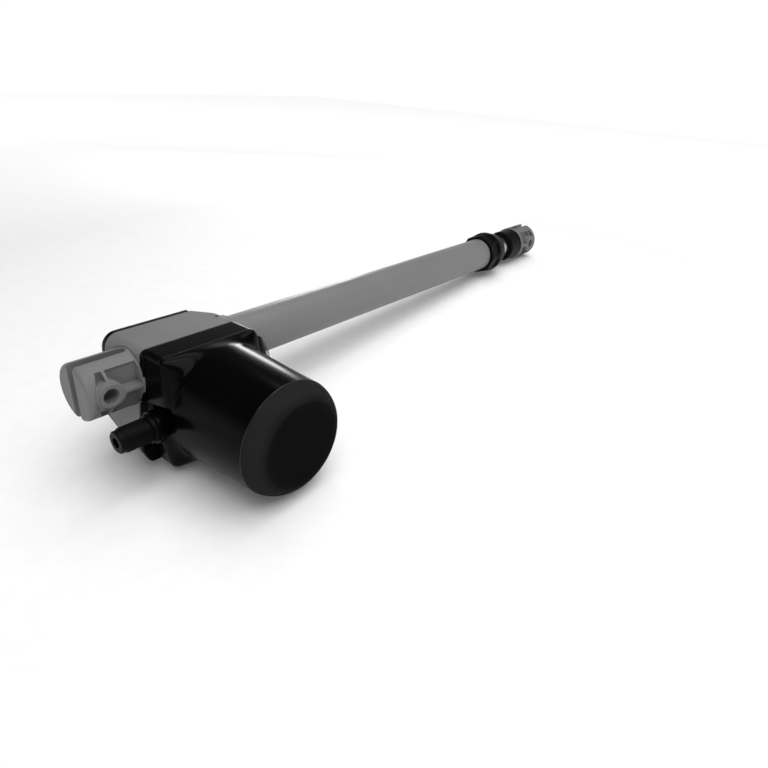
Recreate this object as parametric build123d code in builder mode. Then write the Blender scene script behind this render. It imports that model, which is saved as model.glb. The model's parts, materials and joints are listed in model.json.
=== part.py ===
from build123d import *
import os
from math import atan2, cos, degrees, radians, sin

# Swing gate actuator, left-hand unit. Millimetres.
# The origin is the middle of the rear clevis bore. X runs along the tube to the front
# clevis, the motor stands out to -Y, and the release dial is underneath, on -Z.

# Fits
slip_gap = 0.05
running_gap = 0.08
gasket_thickness = 1.0

# Tube, rod and screw, all on the X axis
pin_distance = 726.0
tube_radius = 22.5
tube_wall = 2.0
tube_start = 107.0
tube_end = 612.0
rod_radius = 17.25
rod_wall = 3.25
rod_start = 122.0
screw_radius = 8.0
screw_tip = 505.0

# Clevis casting, used at both ends
pin_bore = 6.5
clevis_radius = 24.5
clevis_nose = 3.6
clevis_tip = 17.8
clevis_base = 31.0
clevis_slot = 9.0
slot_depth = 45.8
boss_radius = 12.0
pad_radius = 10.0
pad_height = 24.0
pad_recess = 2.0
pocket_floor = 14.0
pocket_top = 19.0
pocket_start = -12.6
pocket_end = 27.0
rib_width = 3.2
shank_radius = 11.0
shank_length = 10.0
stud_radius = 6.0
stud_length = 6.5
nut_thickness = 5.5

# Gearbox casting
case_front = 127.5
case_top = 28.0
case_bottom = -75.0
case_inner_side = -18.6
case_outer_side = 27.0
lip_length = 3.5
boss_length = 22.0
boss_outer = 26.0
lip_outer = 25.2
side_cover_thickness = 5.2

# Motor, its axis parallel to Y
motor_x = 80.0
motor_z = -24.0
can_radius = 33.5
can_wall = 2.5
can_start = -26.0
can_length = 92.0
armature_gap = 0.7
magnet_thickness = 5.25
core_start = can_start - 16.0
core_length = can_length - 44.0
motor_shaft_radius = 4.0
worm_root = 5.6

# Motor cover and end cap
cover_radius = 49.4
cover_draft = 3.5
cover_wall = 3.0
cover_seam = -139.0
bell_start = -64.0
cap_depth = 15.5
cap_rounding = 12.5
cap_face_recess = 0.8
cap_spigot = 7.0

# Worm wheel and clutch on the screw
wheel_width = 10.0
wheel_teeth = 31
tooth_height = 2.1
mesh_gap = 0.4

# Manual release
release_x = 59.0
eccentric = 2.0
release_shaft_radius = 5.0
dial_radius = 12.5
dial_height = 4.9

# Cable gland
gland_y = -40.0
gland_z = -31.0
gland_seat = 20.0
gland_thread = 8.0

# Places that follow from these sizes
tube_bore = tube_radius - tube_wall
rod_bore = rod_radius - rod_wall
clevis_end = pin_distance - clevis_base
rod_end = clevis_end - 2.0
shank_end = clevis_base + shank_length
stud_end = shank_end + stud_length
lip_end = case_front + lip_length
boss_start = case_front - boss_length
armature_radius = can_radius - can_wall - slip_gap - magnet_thickness - armature_gap
core_end = core_start - core_length
can_end = can_start - can_length
cap_end = cover_seam - cap_depth
cover_bore = cover_radius - cover_wall
wheel_start = motor_x - wheel_width / 2
wheel_end = motor_x + wheel_width / 2
wheel_tip = -motor_z - worm_root - mesh_gap
wheel_root = wheel_tip - tooth_height
fork_plane = release_x - eccentric
clutch_front = fork_plane + 2.9
hub_start = clutch_front + 2 * eccentric + 0.3
bearing_start = wheel_end + 2.0
bearing_end = bearing_start + 12.0


def ring_x(start, end, outer, inner=0.0, y=0.0, z=0.0, mode=Mode.ADD):
    """Disc or ring along X, drawn into the part that is open."""
    with BuildSketch(Plane.YZ.offset(start)) as face:
        with Locations((y, z)):
            Circle(outer)
            if inner:
                Circle(inner, mode=Mode.SUBTRACT)
    extrude(face.sketch, amount=end - start, mode=mode)


def ring_y(start, end, outer, inner=0.0, x=motor_x, z=motor_z, mode=Mode.ADD):
    """Disc or ring along Y, start and end are Y values."""
    with BuildSketch(Plane.XZ.offset(-start)) as face:
        with Locations((x, z)):
            Circle(outer)
            if inner:
                Circle(inner, mode=Mode.SUBTRACT)
    extrude(face.sketch, amount=start - end, mode=mode)


def ring_z(start, end, outer, inner=0.0, x=release_x, y=0.0, mode=Mode.ADD):
    """Disc or ring along Z."""
    with BuildSketch(Plane.XY.offset(start)) as face:
        with Locations((x, y)):
            Circle(outer)
            if inner:
                Circle(inner, mode=Mode.SUBTRACT)
    extrude(face.sketch, amount=end - start, mode=mode)


def hex_x(start, end, across_flats, bore=0.0, y=0.0, z=0.0):
    """Hexagon along X with an optional bore."""
    with BuildSketch(Plane.YZ.offset(start)) as face:
        with Locations((y, z)):
            RegularPolygon(across_flats / 2, 6, major_radius=False)
            if bore:
                Circle(bore, mode=Mode.SUBTRACT)
    extrude(face.sketch, amount=end - start)


def block(x_span, y_span, z_span, mode=Mode.ADD):
    """Rectangular block between two values on each axis."""
    with BuildSketch(Plane.XY.offset(z_span[0])) as face:
        with Locations(((x_span[0] + x_span[1]) / 2, (y_span[0] + y_span[1]) / 2)):
            Rectangle(x_span[1] - x_span[0], y_span[1] - y_span[0])
    extrude(face.sketch, amount=z_span[1] - z_span[0], mode=mode)


def outline_y(y, corners, inset=0.0):
    """Face across Y with rounded corners, each corner given as x, z and radius."""
    with BuildSketch(Plane.XZ.offset(-y)) as section:
        with BuildLine():
            FilletPolyline(
                *[(x, z) for x, z, radius in corners],
                radius=[radius for x, z, radius in corners],
                close=True,
            )
        make_face()
        if inset:
            offset(amount=-inset)
    return section.sketch.face()


def socket_screw_y(x, z, seat, tip, shank=2.0, head=3.5, head_height=3.5):
    """Socket head screw along Y, its head on the far side of the seat from the tip."""
    out = 1 if seat > tip else -1
    ring_y(tip, seat, shank, x=x, z=z)
    ring_y(seat, seat + out * head_height, head, x=x, z=z)
    with BuildSketch(Plane.XZ.offset(-(seat + out * head_height))) as socket:
        with Locations((x, z)):
            RegularPolygon(head * 0.5, 6)
    extrude(socket.sketch, amount=out * head_height * 0.5, mode=Mode.SUBTRACT)


os.makedirs("parts", exist_ok=True)
pieces = {}


def keep(name, built):
    """Label a finished piece and remember it for export."""
    built.part.label = name
    pieces[name] = built.part


# Rear clevis
# Two ears with a rounded nose, flat floored pockets between ribs, and a threaded shank.
with BuildPart() as rear_clevis:
    with BuildSketch(Plane.XY):
        with BuildLine():
            Line((-clevis_tip, 0), (-clevis_tip, clevis_radius - clevis_nose))
            RadiusArc(
                (-clevis_tip, clevis_radius - clevis_nose),
                (-clevis_tip + clevis_nose, clevis_radius),
                clevis_nose,
            )
            Polyline(
                (-clevis_tip + clevis_nose, clevis_radius),
                (clevis_base - 0.8, clevis_radius),
                (clevis_base, clevis_radius - 0.8),
                (clevis_base, shank_radius),
                (shank_end, shank_radius),
                (shank_end, stud_radius),
                (stud_end, stud_radius),
                (stud_end, 0),
                (-clevis_tip, 0),
            )
        make_face()
    revolve(axis=Axis.X)
    for side in (1, -1):
        with BuildSketch(Plane.XZ.offset(side * pocket_floor)):
            for half in (1, -1):
                with BuildLine():
                    Polyline(
                        (pocket_start, half * rib_width / 2),
                        (pocket_start, half * 5.0),
                        (pocket_start / 2, half * pocket_top),
                        (pocket_end, half * pocket_top),
                        (pocket_end, half * rib_width / 2),
                        close=True,
                    )
                make_face()
            Circle(boss_radius, mode=Mode.SUBTRACT)
            Rectangle(2.6, 3 * pocket_top, mode=Mode.SUBTRACT)
        extrude(amount=side * clevis_radius, mode=Mode.SUBTRACT)
        with BuildSketch(Plane.XZ.offset(side * pocket_floor)):
            Circle(pad_radius)
        extrude(amount=side * (pad_height - pocket_floor))
        with BuildSketch(Plane.XZ.offset(side * pad_height)):
            Circle(pad_radius)
        extrude(amount=side * pad_recess, mode=Mode.SUBTRACT)
    with BuildSketch(Plane.XY):
        with Locations((-clevis_tip, 0)):
            SlotOverall(2 * slot_depth, clevis_slot)
    extrude(amount=clevis_radius + 1, both=True, mode=Mode.SUBTRACT)
    ring_y(clevis_radius + 1, -clevis_radius - 1, pin_bore, x=0, z=0, mode=Mode.SUBTRACT)
keep("rear_clevis", rear_clevis)

# Front clevis
# The same casting turned round, so that its shank points back to the rod.
with BuildPart() as front_clevis:
    add(rear_clevis.part.rotate(Axis.Z, 180).moved(Location((pin_distance, 0, 0))))
keep("front_clevis", front_clevis)

# Clevis lock nuts
with BuildPart() as rear_clevis_nut:
    hex_x(shank_end, shank_end + nut_thickness, 18, bore=stud_radius + slip_gap)
keep("rear_clevis_nut", rear_clevis_nut)

front_nut_face = pin_distance - shank_end
with BuildPart() as front_clevis_nut:
    hex_x(front_nut_face - nut_thickness, front_nut_face, 18, bore=stud_radius + slip_gap)
keep("front_clevis_nut", front_clevis_nut)

# Gearbox housing
# One casting: its slanted rear runs from the seam of the motor cover to the side cover, the
# front face is raked in plan, and a boss with a lip takes the tube.
seam_corners = [
    (case_front, case_top, 6.0),
    (30.3, case_top, 6.0),
    (18.2, -62.0, 8.0),
    (24.0, case_bottom, 6.0),
    (case_front, case_bottom, 7.0),
]
plate_corners = [
    (case_front, case_top, 6.0),
    (25.9, case_top, 13.0),
    (19.0, -47.0, 6.0),
    (30.5, case_bottom, 6.0),
    (case_front, case_bottom, 7.0),
]
flange_bolt_circle = can_radius + 4.5
flange_screws = [
    (motor_x + flange_bolt_circle * cos(radians(a)), motor_z + flange_bolt_circle * sin(radians(a)))
    for a in (150, 270, 330)
]
rear_cover_screws = [(36.5, 20.0), (36.5, -66.0)]
front_cover_screws = [(121.0, -56.0)]
rear_screw_seat = -8.0
plate_screws = [(35.0, 4.0), (103.0, 20.0), (33.0, -42.0), (103.0, -66.0)]
gear_wall = -13.0
bay_start = 54.8
bay_top = wheel_tip + 2.0
motor_bay_z = -30.0

with BuildPart() as gearbox_housing:
    loft([outline_y(case_inner_side, seam_corners), outline_y(case_outer_side, plate_corners)], ruled=True)
    with BuildSketch(Plane.XY.offset(case_bottom - 1)):
        with BuildLine():
            Polyline(
                (case_front + 0.5, 0),
                (110.0, case_outer_side + 1),
                (140, case_outer_side + 12),
                (140, 0),
                close=True,
            )
        make_face()
    extrude(amount=case_top - case_bottom + 2, mode=Mode.SUBTRACT)
    ring_x(boss_start, case_front, boss_outer)
    ring_x(case_front, lip_end, lip_outer)
    ring_x(0, clevis_base, clevis_radius + 0.4, mode=Mode.SUBTRACT)
    ring_x(clevis_base, shank_end, shank_radius + slip_gap, mode=Mode.SUBTRACT)
    block((shank_end, stud_end), (-12, case_outer_side), (-12, 12), mode=Mode.SUBTRACT)
    ring_x(stud_end - 0.5, 50, 8.0, mode=Mode.SUBTRACT)
    ring_x(48.8, 56, 12 + slip_gap, mode=Mode.SUBTRACT)
    ring_x(bay_start, hub_start, 17.6, mode=Mode.SUBTRACT)
    ring_x(hub_start, wheel_end + 1, wheel_tip + 1.2, mode=Mode.SUBTRACT)
    block((bay_start, wheel_end + 1), (gear_wall, case_outer_side), (-44, bay_top), mode=Mode.SUBTRACT)
    block((bay_start, motor_x + 10), (gear_wall, case_outer_side), (-44, -20), mode=Mode.SUBTRACT)
    block((43, 98), (gear_wall, case_outer_side), (-67, motor_bay_z), mode=Mode.SUBTRACT)
    ring_y(case_outer_side + 1, 18, 9.6, mode=Mode.SUBTRACT)
    ring_x(wheel_end, bearing_start, 14.5, mode=Mode.SUBTRACT)
    ring_x(bearing_start, tube_start, 17.5 + slip_gap, mode=Mode.SUBTRACT)
    ring_x(boss_start + 1, lip_end + 1, tube_radius + slip_gap, mode=Mode.SUBTRACT)
    ring_y(case_inner_side - 1, gear_wall + 1, 9, mode=Mode.SUBTRACT)
    ring_z(case_bottom + 3, -50, 9)
    ring_z(case_bottom - 1, -49, release_shaft_radius + running_gap, mode=Mode.SUBTRACT)
    for x, z in flange_screws:
        ring_y(case_inner_side - 1, -13.4, 2 + slip_gap, x=x, z=z, mode=Mode.SUBTRACT)
    for x, z in front_cover_screws:
        ring_y(case_inner_side - 1, -10, 2 + slip_gap, x=x, z=z, mode=Mode.SUBTRACT)
    for x, z in rear_cover_screws:
        ring_y(case_inner_side - 1, rear_screw_seat + 1, 2 + slip_gap, x=x, z=z, mode=Mode.SUBTRACT)
        ring_y(rear_screw_seat, case_outer_side + 1, 4, x=x, z=z, mode=Mode.SUBTRACT)
    for x, z in plate_screws:
        ring_y(case_outer_side + 1, 16.5, 2 + slip_gap, x=x, z=z, mode=Mode.SUBTRACT)
    for z_side in (1, -1):
        ring_z(0, z_side * 40, 2 + slip_gap, x=120, mode=Mode.SUBTRACT)
keep("gearbox_housing", gearbox_housing)

# Tube set screws, through the boss into dimples of the tube
with BuildPart() as tube_set_screws:
    ring_z(21.6, 25.6, 2, x=120)
    ring_z(-25.6, -21.6, 2, x=120)
keep("tube_set_screws", tube_set_screws)

# Side cover with its gasket
plate_inner = case_outer_side + gasket_thickness
plate_outer = plate_inner + side_cover_thickness
plate_front = 109.0
with BuildPart() as side_cover_gasket:
    with BuildSketch(Plane.XZ.offset(-case_outer_side)):
        with BuildLine():
            FilletPolyline(
                *[(x, z) for x, z, radius in plate_corners],
                radius=[radius for x, z, radius in plate_corners],
                close=True,
            )
        make_face()
        offset(amount=-0.8)
        with Locations((plate_front - 0.8 + 20, (case_top + case_bottom) / 2)):
            Rectangle(40, case_top - case_bottom, mode=Mode.SUBTRACT)
        with Locations((70.5, -44)):
            Rectangle(58, 47, mode=Mode.SUBTRACT)
        with Locations((67, -6)):
            Rectangle(50, 50, mode=Mode.SUBTRACT)
        with Locations(*plate_screws):
            Circle(2.2, mode=Mode.SUBTRACT)
        with Locations(*rear_cover_screws):
            Circle(4.0, mode=Mode.SUBTRACT)
    extrude(amount=-gasket_thickness)
keep("side_cover_gasket", side_cover_gasket)

with BuildPart() as gearbox_side_cover:
    extrude(outline_y(plate_inner, plate_corners), amount=-side_cover_thickness)
    block((plate_front, case_front + 1), (plate_inner - 1, plate_outer + 1), (case_bottom - 1, case_top + 1),
          mode=Mode.SUBTRACT)
    chamfer(gearbox_side_cover.faces().sort_by(Axis.Y)[-1].edges(), 1.5)
    ring_y(plate_inner, 20, 9)
    ring_y(plate_inner, 19, 7, mode=Mode.SUBTRACT)
    for x, z in plate_screws:
        ring_y(plate_outer + 1, plate_outer - 2.6, 3.8, x=x, z=z, mode=Mode.SUBTRACT)
        ring_y(plate_outer + 1, plate_inner - 1, 2.2, x=x, z=z, mode=Mode.SUBTRACT)
keep("gearbox_side_cover", gearbox_side_cover)

with BuildPart() as side_cover_screws:
    for x, z in plate_screws:
        socket_screw_y(x, z, plate_outer - 2.6, 17, head_height=2.2)
keep("side_cover_screws", side_cover_screws)

with BuildPart() as worm_end_bush:
    ring_y(plate_inner - 0.2, 20.2, 7 - slip_gap, motor_shaft_radius + running_gap)
keep("worm_end_bush", worm_end_bush)

# Outer tube
with BuildPart() as outer_tube:
    ring_x(tube_start, tube_end, tube_radius, tube_radius - tube_wall)
    ring_z(21.55, 25, 2.2, x=120, mode=Mode.SUBTRACT)
    ring_z(-25, -21.55, 2.2, x=120, mode=Mode.SUBTRACT)
keep("outer_tube", outer_tube)

# Front nut: eight flats with arched front ends, tapering to the mouth
nut_grip = 16.0
nut_shoulder = 8.0
nut_reach = 28.0
nut_corner = 29.0
flat_distance = 26.4
flat_length = 12.0
nut_start = tube_end - nut_grip
nut_widest = tube_end + nut_shoulder
nut_mouth = tube_end + nut_reach
with BuildPart() as front_nut:
    with BuildSketch(Plane.XY):
        with BuildLine():
            Polyline(
                (nut_start, tube_radius + slip_gap),
                (nut_start, 26.0),
                (nut_start + 2, nut_corner - 1),
                (nut_widest, nut_corner),
                (nut_widest + 3, nut_corner - 0.8),
                (nut_mouth - 2, 24.5),
                (nut_mouth, 23.0),
                (nut_mouth, 21.0),
                (nut_mouth - 2, 20.4),
                (nut_mouth - 10, 20.4),
                (nut_mouth - 10, 19.0),
                (tube_end + 6, 19.0),
                (tube_end + 6, tube_radius + slip_gap),
                close=True,
            )
        make_face()
    revolve(axis=Axis.X)
    for step in range(8):
        flat = Plane.XY.rotated((22.5 + 45 * step, 0, 0)).offset(flat_distance)
        with BuildSketch(flat):
            with Locations((nut_start + flat_length / 2 - 0.5, 0)):
                Rectangle(flat_length + 1, 20.6)
            with Locations((nut_start + flat_length, 0)):
                Ellipse(8, 10.3)
        extrude(amount=6, mode=Mode.SUBTRACT)
keep("front_nut", front_nut)

with BuildPart() as guide_bush:
    ring_x(tube_end - 32, tube_end, tube_bore - slip_gap, rod_radius + running_gap)
    ring_x(tube_end + 0.05, tube_end + 5.5, tube_radius - 0.2, rod_radius + running_gap)
keep("guide_bush", guide_bush)

with BuildPart() as rod_seal:
    ring_x(nut_mouth - 9.8, nut_mouth - 3.4, 20.3, rod_radius + running_gap)
keep("rod_seal", rod_seal)

with BuildPart() as wiper_ring:
    ring_x(nut_mouth - 3.3, nut_mouth - 1.6, 20.3, rod_radius + 0.3)
keep("wiper_ring", wiper_ring)

# Push rod: chromed tube
with BuildPart() as push_rod:
    ring_x(rod_start, rod_end, rod_radius, rod_bore)
    for side in (1, -1):
        ring_z(0, side * 20, 2 + slip_gap, x=rod_end - 3.5, mode=Mode.SUBTRACT)
keep("push_rod", push_rod)

with BuildPart() as rod_end_plug:
    ring_x(rod_end - 28, rod_end, rod_bore - slip_gap, 11.6)
    ring_x(front_nut_face, rod_end, 11.6, shank_radius + slip_gap)
    ring_x(rod_end, clevis_end, rod_radius, shank_radius + slip_gap)
    for side in (1, -1):
        ring_z(side * 12.5, side * 20, 2 + slip_gap, x=rod_end - 3.5, mode=Mode.SUBTRACT)
keep("rod_end_plug", rod_end_plug)

# Rod end collar, black, almost as wide as the clevis and rounded towards the rod
collar_length = 30.8
collar_radius = 22.9
collar_start = clevis_end - collar_length
with BuildPart() as rod_end_collar:
    ring_x(collar_start, clevis_end - 0.2, collar_radius, rod_radius + slip_gap)
    rim = rod_end_collar.edges().filter_by(GeomType.CIRCLE).group_by(Axis.X)[0].sort_by(SortBy.LENGTH)[-1]
    fillet(rim, 3.5)
    for side in (1, -1):
        ring_z(side * 16, side * 26, 2 + slip_gap, x=rod_end - 3.5, mode=Mode.SUBTRACT)
keep("rod_end_collar", rod_end_collar)

with BuildPart() as rod_end_pins:
    ring_z(12.6, collar_radius - 0.6, 2, x=rod_end - 3.5)
    ring_z(0.6 - collar_radius, -12.6, 2, x=rod_end - 3.5)
keep("rod_end_pins", rod_end_pins)

with BuildPart() as drive_nut:
    ring_x(rod_start - 3, rod_start, rod_radius, screw_radius + 0.3)
    ring_x(rod_start, rod_start + 28, rod_bore - slip_gap, screw_radius + 0.3)
keep("drive_nut", drive_nut)

with BuildPart() as rod_guide_ring:
    ring_x(rod_start + 4, rod_start + 20, tube_bore - 0.3, rod_radius + slip_gap)
keep("rod_guide_ring", rod_guide_ring)

# Lead screw with its journals
with BuildPart() as lead_screw:
    with BuildSketch(Plane.XY):
        with BuildLine():
            Polyline(
                (49.2, 0),
                (49.2, 6.0),
                (54.9, 6.0),
                (54.9, 9.0),
                (hub_start - 0.2, 9.0),
                (hub_start - 0.2, screw_radius),
                (screw_tip, screw_radius),
                (screw_tip, 4.0),
                (screw_tip + 6, 4.0),
                (screw_tip + 6, 0),
                close=True,
            )
        make_face()
    revolve(axis=Axis.X)
keep("lead_screw", lead_screw)

with BuildPart() as screw_tip_guide:
    ring_x(screw_tip, screw_tip + 6, rod_bore - 0.3, 4 + slip_gap)
keep("screw_tip_guide", screw_tip_guide)

# Screw bearings, the inner rings turn with the screw
with BuildPart() as rear_bearing_outer_ring:
    ring_x(48.8, 54.7, 12, 10.4)
keep("rear_bearing_outer_ring", rear_bearing_outer_ring)

with BuildPart() as rear_bearing_inner_ring:
    ring_x(49.2, 54.7, 7.6, 6 + slip_gap)
keep("rear_bearing_inner_ring", rear_bearing_inner_ring)

with BuildPart() as front_bearing_outer_ring:
    ring_x(bearing_start, bearing_end, 17.5, 15.0)
keep("front_bearing_outer_ring", front_bearing_outer_ring)

with BuildPart() as front_bearing_inner_ring:
    ring_x(bearing_start, bearing_end, 10.6, screw_radius + slip_gap)
keep("front_bearing_inner_ring", front_bearing_inner_ring)

with BuildPart() as front_bearing_balls:
    for step in range(9):
        turn = radians(40 * step)
        with Locations(((bearing_start + bearing_end) / 2, 12.8 * cos(turn), 12.8 * sin(turn))):
            Sphere(2.15)
keep("front_bearing_balls", front_bearing_balls)

with BuildPart() as bearing_retaining_ring:
    ring_x(bearing_end + 0.2, bearing_end + 3.5, 17.5, 11.5)
keep("bearing_retaining_ring", bearing_retaining_ring)

with BuildPart() as screw_lock_collar:
    ring_x(bearing_end + 0.2, bearing_end + 4.6, 10.8, screw_radius + slip_gap)
keep("screw_lock_collar", screw_lock_collar)

with BuildPart() as bearing_spacer:
    ring_x(wheel_end + 0.2, bearing_start - 0.2, 11.0, screw_radius + slip_gap)
keep("bearing_spacer", bearing_spacer)

# Worm wheel with a conical seat for the clutch in its rear hub
cone_length = 2.2
cone_mouth = 12.6
cone_tip = 11.6
cone_gap = 0.04
with BuildPart() as worm_wheel:
    with BuildSketch(Plane.YZ.offset(wheel_start)):
        Circle(wheel_root)
        with PolarLocations(wheel_root - 0.3, wheel_teeth):
            Trapezoid(1.9, wheel_tip - wheel_root + 0.3, 75, rotation=-90, align=(Align.CENTER, Align.MIN))
        Circle(screw_radius + running_gap, mode=Mode.SUBTRACT)
    extrude(amount=wheel_width)
    ring_x(hub_start, wheel_start, 14, screw_radius + running_gap)
    with BuildSketch(Plane.XY):
        with BuildLine():
            Polyline(
                (hub_start - 0.1, 0),
                (hub_start - 0.1, cone_mouth - cone_gap),
                (hub_start, cone_mouth - cone_gap),
                (hub_start + cone_length, cone_tip - cone_gap),
                (hub_start + cone_length, 0),
                close=True,
            )
        make_face()
    revolve(axis=Axis.X, mode=Mode.SUBTRACT)
keep("worm_wheel", worm_wheel)

# Clutch ring, drawn released: a cone that seats in the wheel when it slides forward
with BuildPart() as clutch_ring:
    with BuildSketch(Plane.XY):
        with BuildLine():
            Polyline(
                (fork_plane - 1.8, 9 + running_gap),
                (fork_plane - 1.8, 13.8),
                (clutch_front, 13.8),
                (clutch_front, cone_mouth),
                (clutch_front + cone_length, cone_tip),
                (clutch_front + cone_length, 9 + running_gap),
                close=True,
            )
        make_face()
    revolve(axis=Axis.X)
    ring_x(fork_plane - 0.9, fork_plane + 1.1, 15, 11.5, mode=Mode.SUBTRACT)
keep("clutch_ring", clutch_ring)

# Release fork, moved by the eccentric pin of the release shaft
with BuildPart() as release_fork:
    with BuildSketch(Plane.YZ.offset(fork_plane - 0.7)):
        Circle(16)
        with Locations((0, -24)):
            Rectangle(14, 24)
        Circle(12.0, mode=Mode.SUBTRACT)
        with Locations((0, 20)):
            Rectangle(40, 28, mode=Mode.SUBTRACT)
    extrude(amount=1.6)
    block((fork_plane - 4.5, fork_plane + 4.0), (-8, 8), (-37.0, -34.5))
    with BuildSketch(Plane.XY.offset(-38)):
        with Locations((fork_plane, 0)):
            SlotOverall(10, 5.2, rotation=90)
    extrude(amount=3.4, mode=Mode.SUBTRACT)
keep("release_fork", release_fork)

shaft_top = -40.0
with BuildPart() as release_shaft:
    ring_z(case_bottom - 2, shaft_top, release_shaft_radius)
    ring_z(shaft_top, shaft_top + 5, 2.0, x=fork_plane)
    ring_z(-60, -58.4, 6, 4.2, mode=Mode.SUBTRACT)
keep("release_shaft", release_shaft)

with BuildPart() as release_shaft_seal:
    ring_z(-59.9, -58.5, release_shaft_radius + 0.03, 4.25)
keep("release_shaft_seal", release_shaft_seal)

# Release dial: low chromed dome with a key recess
dial_low = case_bottom - 0.3 - dial_height
with BuildPart() as release_dial:
    with BuildSketch(Plane.XZ):
        with BuildLine():
            Line((release_x, case_bottom - 0.3), (release_x + dial_radius, case_bottom - 0.3))
            Line((release_x + dial_radius, case_bottom - 0.3), (release_x + dial_radius, case_bottom - 2.6))
            RadiusArc(
                (release_x + dial_radius, case_bottom - 2.6),
                (release_x, dial_low),
                31.0,
            )
            Line((release_x, dial_low), (release_x, case_bottom - 0.3))
        make_face()
    revolve(axis=Axis((release_x, 0, 0), (0, 0, 1)))
    ring_z(case_bottom - 2, case_bottom, release_shaft_radius + slip_gap, mode=Mode.SUBTRACT)
    block((release_x - 6, release_x + 6), (-1.2, 1.2), (dial_low - 1, dial_low + 1.8), mode=Mode.SUBTRACT)
keep("release_dial", release_dial)

# Motor flange and the motor inside the cover
through_bolt_circle = can_radius - 5.1
through_bolts = [
    (motor_x + through_bolt_circle * cos(radians(a)), motor_z + through_bolt_circle * sin(radians(a)))
    for a in (45, 225)
]
with BuildPart() as motor_flange:
    ring_y(case_inner_side, can_start, can_radius)
    for x, z in flange_screws:
        ring_y(case_inner_side, -23, 4.8, x=x, z=z)
        ring_y(-23, can_start - 1, 4.0, x=x, z=z, mode=Mode.SUBTRACT)
        ring_y(case_inner_side + 1, can_start, 2 + slip_gap, x=x, z=z, mode=Mode.SUBTRACT)
    ring_y(case_inner_side + 1, can_start - 1, 6, mode=Mode.SUBTRACT)
    ring_y(-19.5, can_start - 1, 11 + slip_gap, mode=Mode.SUBTRACT)
    for bolt_x, bolt_z in through_bolts:
        ring_y(-21, can_start - 1, 1.5 + slip_gap, x=bolt_x, z=bolt_z, mode=Mode.SUBTRACT)
    ring_x(boss_start - 1, case_front, boss_outer + 0.4, mode=Mode.SUBTRACT)
keep("motor_flange", motor_flange)

with BuildPart() as motor_flange_screws:
    for x, z in flange_screws:
        socket_screw_y(x, z, -23, -13.6, head=3.4, head_height=3.0)
keep("motor_flange_screws", motor_flange_screws)

with BuildPart() as motor_can:
    ring_y(can_start, can_end, can_radius, can_radius - can_wall)
keep("motor_can", motor_can)

magnet_outer = armature_radius + armature_gap + magnet_thickness
with BuildPart() as motor_magnets:
    with BuildSketch(Plane.XZ.offset(38)):
        with Locations((motor_x, motor_z)):
            Circle(magnet_outer)
            Circle(armature_radius + armature_gap, mode=Mode.SUBTRACT)
            Rectangle(11, 80, rotation=45, mode=Mode.SUBTRACT)
            Rectangle(11, 80, rotation=-45, mode=Mode.SUBTRACT)
    extrude(amount=56)
keep("motor_magnets", motor_magnets)

slot_circle = armature_radius - 5.5
with BuildPart() as rotor_core:
    with BuildSketch(Plane.XZ.offset(-core_start)):
        with Locations((motor_x, motor_z)):
            Circle(armature_radius)
            Circle(5 + slip_gap, mode=Mode.SUBTRACT)
            with PolarLocations(slot_circle, 12):
                SlotOverall(9, 4.4, mode=Mode.SUBTRACT)
            with PolarLocations(armature_radius, 12):
                Rectangle(4, 1.6, mode=Mode.SUBTRACT)
    extrude(amount=core_length)
keep("rotor_core", rotor_core)

# Copper: one bar in every slot and a ring of end turns at each end of the core
with BuildPart() as rotor_windings:
    with BuildSketch(Plane.XZ.offset(-core_start)):
        with Locations((motor_x, motor_z)):
            with PolarLocations(slot_circle, 12):
                SlotOverall(8.6, 4.0)
    extrude(amount=core_length)
    ring_y(core_start, core_start + 7, slot_circle + 4.4, 9)
    ring_y(core_end, core_end - 7, slot_circle + 4.4, 9)
keep("rotor_windings", rotor_windings)

worm_end = 13.5
rear_bell_thickness = 6.5
rear_bell_end = can_end - rear_bell_thickness
with BuildPart() as rotor_shaft:
    ring_y(case_outer_side - 1.5, worm_end, motor_shaft_radius)
    ring_y(worm_end, -worm_end, worm_root)
    ring_y(-worm_end, can_start, motor_shaft_radius)
    ring_y(can_start, can_end + 2.0, 5)
    ring_y(can_end + 2.0, rear_bell_end + 1.1, motor_shaft_radius)
keep("rotor_shaft", rotor_shaft)

commutator_start = core_end - 9.0
commutator_length = 12.0
with BuildPart() as commutator:
    with BuildSketch(Plane.XZ.offset(-commutator_start)):
        with Locations((motor_x, motor_z)):
            Circle(11)
            Circle(5 + slip_gap, mode=Mode.SUBTRACT)
            with PolarLocations(11, 12):
                Rectangle(2, 0.6, mode=Mode.SUBTRACT)
    extrude(amount=commutator_length)
keep("commutator", commutator)

plate_face_y = commutator_start - commutator_length - 0.5
with BuildPart() as brush_plate:
    ring_y(plate_face_y, plate_face_y - 2, can_radius - can_wall - slip_gap, 13)
    for side in (1, -1):
        span = sorted((motor_x + side * 13.0, motor_x + side * 22.0))
        block(span, (plate_face_y, plate_face_y + 11.5), (motor_z - 5, motor_z + 5))
        span = sorted((motor_x + side * 10.0, motor_x + side * 20.5))
        height = (motor_z - 3.1, motor_z + 3.1)
        block(span, (plate_face_y + 2, plate_face_y + 9.5), height, mode=Mode.SUBTRACT)
    for bolt_x, bolt_z in through_bolts:
        ring_y(plate_face_y + 1, plate_face_y - 3, 1.5 + slip_gap, x=bolt_x, z=bolt_z, mode=Mode.SUBTRACT)
keep("brush_plate", brush_plate)

with BuildPart() as brushes:
    for side in (1, -1):
        span = sorted((motor_x + side * 11.4, motor_x + side * 19.5))
        block(span, (plate_face_y + 2.1, plate_face_y + 9.4), (motor_z - 3.0, motor_z + 3.0))
keep("brushes", brushes)

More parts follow.
